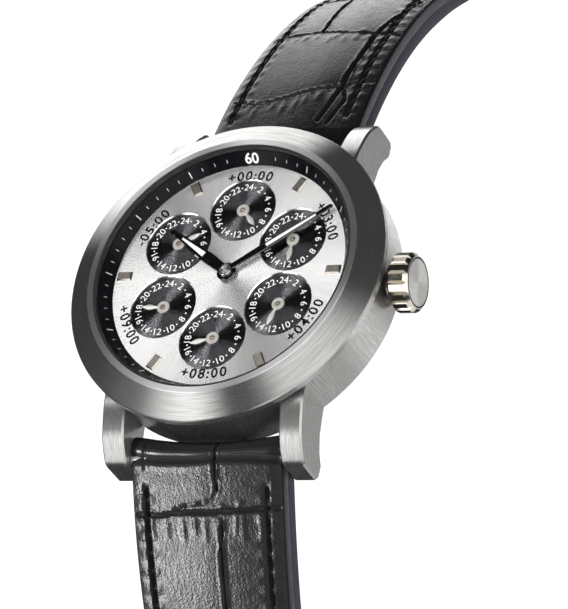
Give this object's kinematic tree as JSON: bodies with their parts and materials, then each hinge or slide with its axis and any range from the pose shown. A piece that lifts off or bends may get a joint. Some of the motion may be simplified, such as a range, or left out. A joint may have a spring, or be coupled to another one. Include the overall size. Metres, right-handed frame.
{
  "type": "wristwatch",
  "caption": "Round steel wristwatch on an open leather strap, with a two-hand dial, small 24-hour zone dials driven by one gear train, a fluted crown and a tongue buckle.",
  "frame": {"origin": "centre of the case back's wrist face, on the axis of the hands", "axes": "+Z out through the dial, +Y to twelve o'clock, +X to three o'clock and the crown"},
  "size_m": [0.0429, 0.2122, 0.0531],
  "materials": {
    "brushed_case": "brushed steel",
    "crystal": "clear glass",
    "gasket": "black gasket",
    "flange_black": "gloss black lacquer on brass",
    "crown_steel": "polished, slightly warm",
    "steel": "turned steel",
    "buckle_steel": "polished steel",
    "spacer": "pale moulded plastic",
    "plate_nickel": "nickel plated",
    "wheel_brass": "gilt",
    "board": "green board",
    "battery": "satin",
    "coil_copper": "lacquered winding",
    "dial_silver": "silvered, brushed from the centre",
    "subdial_black": "black, fine turned rings",
    "marker_steel": "polished facets",
    "hand_dark": "dark grey with white filling",
    "zone_hand_pale": "pale beige silver",
    "strap_leather": "black embossed leather"
  },
  "bodies": {
    "case": {"bezel": "brushed_case", "crystal": "crystal", "crystal_gasket": "gasket", "dial_flange": "flange_black", "middle_case": "brushed_case", "case_back": "brushed_case", "back_gasket": "gasket", "back_screws": "steel", "crown_tube": "steel", "movement_ring": "spacer", "main_plate": "plate_nickel", "train_bridge": "plate_nickel", "module_plate": "plate_nickel", "circuit_board": "board", "battery": "battery", "motor_coil": "coil_copper", "dial": "dial_silver", "hour_markers": "marker_steel", "spring_bar_12": "steel", "spring_bar_6": "steel", "subdial_12": "subdial_black", "subdial_2": "subdial_black", "subdial_4": "subdial_black", "subdial_6": "subdial_black", "subdial_8": "subdial_black", "subdial_10": "subdial_black"},
    "minute_arbor": {"cannon_pinion": "plate_nickel", "centre_wheel": "wheel_brass", "minute_hand": "hand_dark"},
    "hour_arbor": {"hour_wheel": "plate_nickel", "hour_hand": "hand_dark"},
    "minute_wheel": {"minute_wheel": "wheel_brass"},
    "train_wheel": {"train_wheel": "wheel_brass"},
    "rotor": {"rotor": "steel"},
    "clutch": {"clutch_wheel": "steel"},
    "crown": {"crown": "crown_steel", "stem": "steel", "crown_gasket": "gasket"},
    "strap_upper": {"strap_upper": "strap_leather", "keeper_fixed": "strap_leather", "buckle_bar": "steel"},
    "strap_lower": {"strap_lower": "strap_leather"},
    "buckle": {"buckle_frame": "buckle_steel"},
    "tongue": {"buckle_tongue": "buckle_steel"},
    "keeper": {"keeper_free": "strap_leather"},
    "idler_1": {"idler_1": "wheel_brass"},
    "idler_5": {"idler_5": "wheel_brass"},
    "idler_9": {"idler_9": "wheel_brass"},
    "zone_12": {"zone_wheel_12": "wheel_brass", "zone_hand_12": "zone_hand_pale"},
    "zone_2": {"zone_wheel_2": "wheel_brass", "zone_hand_2": "zone_hand_pale"},
    "zone_4": {"zone_wheel_4": "wheel_brass", "zone_hand_4": "zone_hand_pale"},
    "zone_6": {"zone_wheel_6": "wheel_brass", "zone_hand_6": "zone_hand_pale"},
    "zone_8": {"zone_wheel_8": "wheel_brass", "zone_hand_8": "zone_hand_pale"},
    "zone_10": {"zone_wheel_10": "wheel_brass", "zone_hand_10": "zone_hand_pale"}
  },
  "joints": [
    {"name": "minute_turn", "type": "hinge", "parent": "case", "child": "minute_arbor", "pos_m": [0, 0, 0.00801], "axis": [0, 0, -1], "continuous": true},
    {"name": "hour_turn", "type": "hinge", "parent": "case", "child": "hour_arbor", "pos_m": [0, 0, 0.00775], "axis": [0, 0, -1], "continuous": true},
    {"name": "minute_wheel_turn", "type": "hinge", "parent": "case", "child": "minute_wheel", "pos_m": [-0.0015, 0.0026, 0.0051], "axis": [0, 0, -1], "continuous": true},
    {"name": "train_wheel_turn", "type": "hinge", "parent": "case", "child": "train_wheel", "pos_m": [-0.00279, -0.00102, 0.004], "axis": [0, 0, -1], "continuous": true},
    {"name": "rotor_turn", "type": "hinge", "parent": "case", "child": "rotor", "pos_m": [-0.00371, -0.00355, 0.00352], "axis": [0, 0, -1], "continuous": true},
    {"name": "idler_1_turn", "type": "hinge", "parent": "case", "child": "idler_1", "pos_m": [0.00194, 0.00336, 0.00605], "axis": [0, 0, -1], "continuous": true},
    {"name": "idler_5_turn", "type": "hinge", "parent": "case", "child": "idler_5", "pos_m": [0.00194, -0.00336, 0.00605], "axis": [0, 0, -1], "continuous": true},
    {"name": "idler_9_turn", "type": "hinge", "parent": "case", "child": "idler_9", "pos_m": [-0.00388, 0, 0.00605], "axis": [0, 0, -1], "continuous": true},
    {"name": "zone_12_turn", "type": "hinge", "parent": "case", "child": "zone_12", "pos_m": [0, 0.00864, 0.00726], "axis": [0, 0, -1], "continuous": true},
    {"name": "zone_2_turn", "type": "hinge", "parent": "case", "child": "zone_2", "pos_m": [0.00748, 0.00432, 0.00726], "axis": [0, 0, -1], "continuous": true},
    {"name": "zone_4_turn", "type": "hinge", "parent": "case", "child": "zone_4", "pos_m": [0.00748, -0.00432, 0.00726], "axis": [0, 0, -1], "continuous": true},
    {"name": "zone_6_turn", "type": "hinge", "parent": "case", "child": "zone_6", "pos_m": [0, -0.00864, 0.00726], "axis": [0, 0, -1], "continuous": true},
    {"name": "zone_8_turn", "type": "hinge", "parent": "case", "child": "zone_8", "pos_m": [-0.00748, -0.00432, 0.00726], "axis": [0, 0, -1], "continuous": true},
    {"name": "zone_10_turn", "type": "hinge", "parent": "case", "child": "zone_10", "pos_m": [-0.00748, 0.00432, 0.00726], "axis": [0, 0, -1], "continuous": true},
    {"name": "crown_turn", "type": "hinge", "parent": "case", "child": "clutch", "pos_m": [0.0094, 0, 0.0039], "axis": [1, 0, 0], "continuous": true},
    {"name": "crown_pull", "type": "slide", "parent": "clutch", "child": "crown", "axis": [1, 0, 0], "range_m": [0, 0.0008]},
    {"name": "strap_upper_swing", "type": "hinge", "parent": "case", "child": "strap_upper", "pos_m": [0, 0.0213, 0.0015], "axis": [-1, 0, 0], "range_deg": [-90, 25]},
    {"name": "strap_lower_swing", "type": "hinge", "parent": "case", "child": "strap_lower", "pos_m": [0, -0.0213, 0.0015], "axis": [1, 0, 0], "range_deg": [-105, 25]},
    {"name": "buckle_swing", "type": "hinge", "parent": "strap_upper", "child": "buckle", "pos_m": [0, 0.08088, -0.04189], "axis": [1, 0, 0], "range_deg": [-124, 35]},
    {"name": "tongue_swing", "type": "hinge", "parent": "buckle", "child": "tongue", "pos_m": [0, 0.08088, -0.04189], "axis": [1, 0, 0], "range_deg": [0, 70]},
    {"name": "keeper_slide", "type": "slide", "parent": "strap_upper", "child": "keeper", "axis": [0, 0.7103, -0.7039], "range_m": [-0.005, 0.0025]}
  ],
  "couplings": [
    {"joint": "hour_turn", "follows": "minute_turn", "ratio": 0.083333},
    {"joint": "minute_wheel_turn", "follows": "minute_turn", "ratio": -0.33333},
    {"joint": "train_wheel_turn", "follows": "minute_turn", "ratio": -10},
    {"joint": "rotor_turn", "follows": "minute_turn", "ratio": 90},
    {"joint": "idler_1_turn", "follows": "minute_turn", "ratio": -0.068182},
    {"joint": "idler_5_turn", "follows": "minute_turn", "ratio": -0.068182},
    {"joint": "idler_9_turn", "follows": "minute_turn", "ratio": -0.068182},
    {"joint": "zone_12_turn", "follows": "minute_turn", "ratio": 0.041667},
    {"joint": "zone_2_turn", "follows": "minute_turn", "ratio": 0.041667},
    {"joint": "zone_4_turn", "follows": "minute_turn", "ratio": 0.041667},
    {"joint": "zone_6_turn", "follows": "minute_turn", "ratio": 0.041667},
    {"joint": "zone_8_turn", "follows": "minute_turn", "ratio": 0.041667},
    {"joint": "zone_10_turn", "follows": "minute_turn", "ratio": 0.041667}
  ]
}
